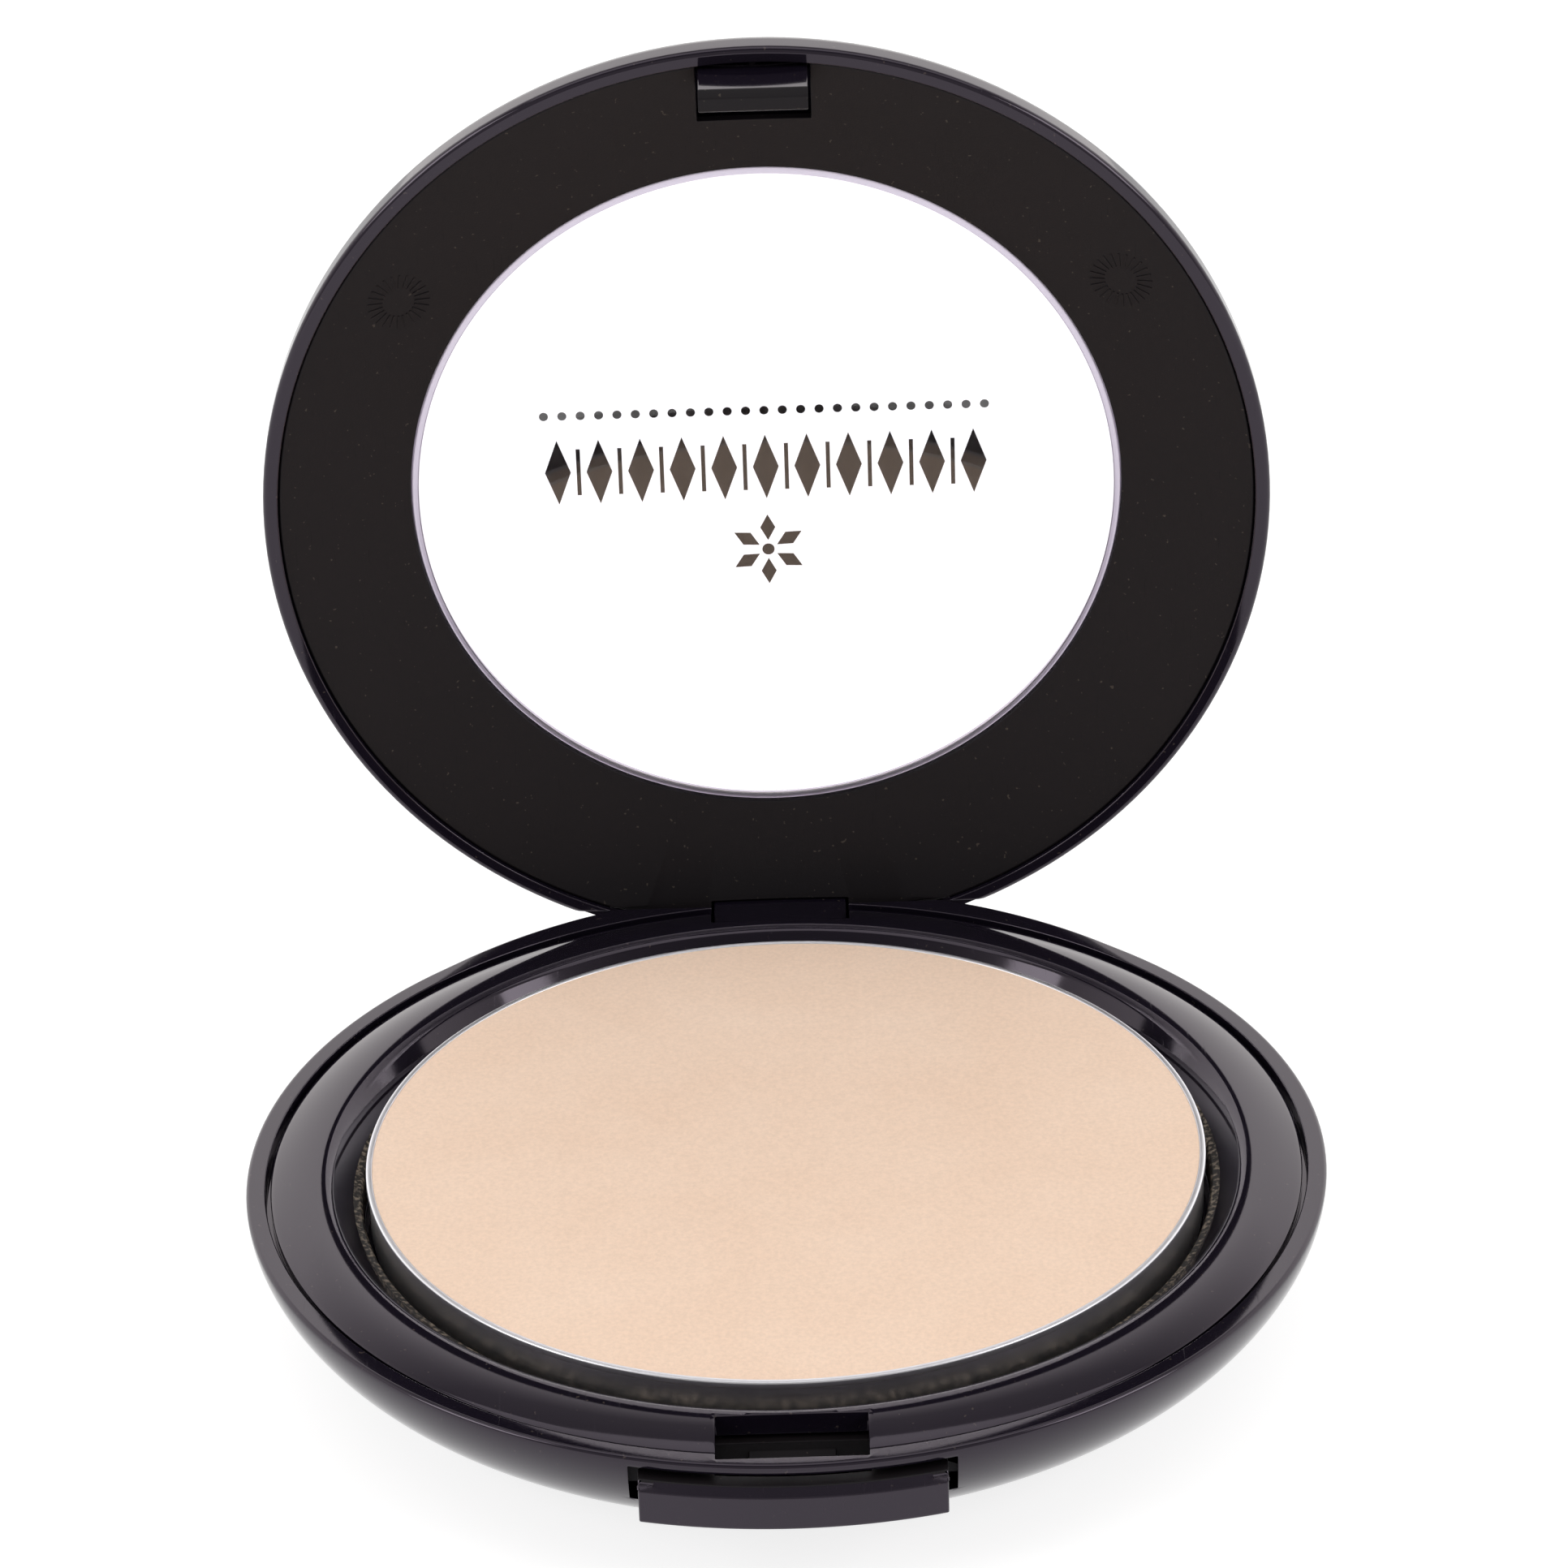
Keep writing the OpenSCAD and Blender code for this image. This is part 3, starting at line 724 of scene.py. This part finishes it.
# %% Lid frame
lid_z = rim_z + 0.15
lid_top, shoulder, inner_ledge = lid_z + 5.5, lid_z + 1.55, lid_z + 1.35
window_r = lens_r - 1.5
dome_r, dome_in = lid_r - 7.15, lid_r - 1.55
seat_z = rim_z + 5
lid_foot = soften([(dome_in, inner_ledge), (lid_r - 1.1, inner_ledge), (lid_r - 1.1, lid_z, 0.08),
                   (lid_r - 0.5, lid_z)])[1:-1]
lid_edge = arc(lid_r - 0.45, lid_z + 0.45, 0.45, 0.45, 270, 360, 8)
lid_outside = arc(dome_r, shoulder, lid_r - dome_r, 3.6, 0, 90, 24)
lid_opening = soften([(dome_r, lid_top), (window_r + 0.1, lid_top, 0.2), (window_r + 0.1, seat_z)])[1:]
lid_seat = [(lens_r + 0.1, seat_z), (lens_r + 0.1, seat_z - 0.7)]
lid_inside = arc(dome_r, shoulder, dome_in - dome_r, 2.6, 90, 0, 16) + [(dome_in, inner_ledge)]
lid_shell = turned("lid_moulding", lid_foot + lid_edge + lid_outside + lid_opening + lid_seat + lid_inside)
combine(lid_shell, [mid_block(across, relief, base_r, 0, rim_z + 0.75)])
arm_w, knuckle_r, bore_r = 9.9, 1.45, 0.7
knuckle = rod(knuckle_r, -arm_w / 2, arm_w / 2, hinge.y, hinge.z)
arm = mid_block(arm_w, hinge.y - knuckle_r, hinge.y + knuckle_r, hinge.z, shoulder)
combine(lid_shell, [knuckle, arm], "UNION")
combine(lid_shell, [rod(bore_r, -arm_w, arm_w, hinge.y, hinge.z)])

# %% [markdown]
# The hook is a bar that hangs into the slot, with a pocket that faces the hinge. The
# button's tongue snaps into the pocket.

# %% Hook
hook_w, hook_out, hook_low = 7.7, -frame_r + 1.15, rim_z - 3.8
hook = from_side("hook", [
    (hook_out, shoulder + 1.3), (hook_out, hook_low + 0.5), (hook_out + 0.5, hook_low),
    (hook_in - 0.2, hook_low), (hook_in, hook_low + 0.3), (hook_in, shoulder + 2.2)], hook_w)
combine(hook, [mid_block(tongue_w + 0.5, hook_in - 0.9, hook_in + 1, bar_low - 0.2, bar_low + 1)])
combine(lid_shell, [hook], "UNION")
round_cuts(lid_shell, 0.08)
finished(opened(lid_shell), "lid", "gloss_black_plastic", gloss_abs, "lid_shell")
hook_z = hinge.z + hinge.y - hook_in - 1
# Painted shade: the hook gets the darker matt black with its dimmed reflection, which stands in for the shade
# that falls on it.
finish_part(lid_shell, matt_abs_and_painted_shade,
            lambda at: at.z > hook_z and abs(at.x) < hook_w / 2 + 0.05 and at.y < hinge.y - 2.45)

# %% Lid liner
liner_r, liner_out, liner_in = lid_r - 1.15, rim_z + 0.45, rim_z + 3.5
clamp_z = rim_z + 4.25
liner = turned("lid_liner_moulding", soften([
    (window_r + 0.1, liner_in, 0.12), (window_r + 0.1, clamp_z), (lens_r + 0.2, clamp_z),
    (lens_r + 1.1, clamp_z - 0.65), (liner_r - 1.5, inner_ledge + 0.25), (liner_r - 0.5, inner_ledge),
    (liner_r, inner_ledge), (liner_r, liner_out, 0.15)]))
combine(liner, [
    mid_block(hook_w + 0.4, -lid_r, -lip_r + 1.8, 0, lid_top),
    mid_block(across, relief, base_r, 0, rim_z + 0.75),
    mid_block(knuckle_w, relief, base_r, 0, lid_top),
])
round_cuts(liner, 0.08)
finished(opened(liner), "lid", "matt_black_plastic", matt_abs_and_painted_shade, "lid_liner")

# %% [markdown]
# The tool has two round date inserts. Each leaves a ring of fine raised spokes on the liner.

# %% Mould date marks
slant = math.atan2(liner_in - liner_out, liner_r - window_r)
mark_r, mark_x, mark_y = 31.0, 25.9, -17.0
spoke_in, spoke_out, spoke_count = 1.2, 2.3, 24
for side_x in (-1, 1):
    around = Matrix.Rotation(math.atan2(mark_y, side_x * mark_x), 4, "Z")
    outward = Matrix.Translation((mark_r, 0, liner_out + (liner_r - mark_r) * math.tan(slant)))
    centre = around @ outward @ Matrix.Rotation(slant, 4, "Y")
    spokes = []
    for k in range(spoke_count):
        spoke = block((spoke_in, -0.06, -0.05), (spoke_out, 0.06, 0.05))
        spoke.matrix_world = centre @ Matrix.Rotation(math.tau * k / spoke_count, 4, "Z")
        spokes.append(spoke)
    pick(*spokes)
    bpy.ops.object.transform_apply(location=True, rotation=True, scale=True)
    bpy.ops.object.join()
    mark = added("date_mark_left" if side_x < 0 else "date_mark_right")
    finished(opened(mark), "lid", "matt_black_plastic", matt_abs_and_painted_shade)

# %% Window
face_z = liner_in + 0.1
lens = turned("window_moulding", soften([
    (0, face_z), (window_r - 0.75, face_z, 0.05), (window_r - 0.7, liner_in + 0.15, 0.05),
    (window_r - 0.45, liner_in + 0.15, 0.05), (window_r - 0.4, face_z, 0.05), (window_r, face_z, 0.25),
    (window_r, clamp_z), (lens_r, clamp_z), (lens_r, clamp_z + 0.75), (window_r, clamp_z + 0.75),
    (window_r, lid_top - 0.25, 0.2), (0, lid_top - 0.25)]), 256)
finished(opened(lens), "lid", "clear_plastic", clear, "window_lens")
middle = hinge + Matrix.Rotation(-open_turn, 3, "X") @ (Vector((0, 0, lid_top)) - hinge)
axis = Matrix.Rotation(-open_turn, 3, "X") @ Vector((0, 0, 1))
# Painted reflection: the band at the window's edge gets the lilac grey tint.
finish_part(lens, lens_edge_painted_reflection, lambda at: (at - middle).cross(axis).length > window_r - 0.5)

# %% [markdown]
# ## Pieces whose CAD shape is right
# The printed ornament, the pin, the spring, the label and the glue dots stay as the CAD
# has them and get their finishes.

# %% Finishes on the CAD nodes
for name, material in {"window_print": ink, "hinge_pin": ground_steel, "button_spring": rolled_steel,
                       "base_label": film, "pan_glue": glue}.items():
    kept = frame["nodes"][name]
    kept.data.materials.clear()
    kept.data.materials.append(material)
    print(name, "gets", material.name)
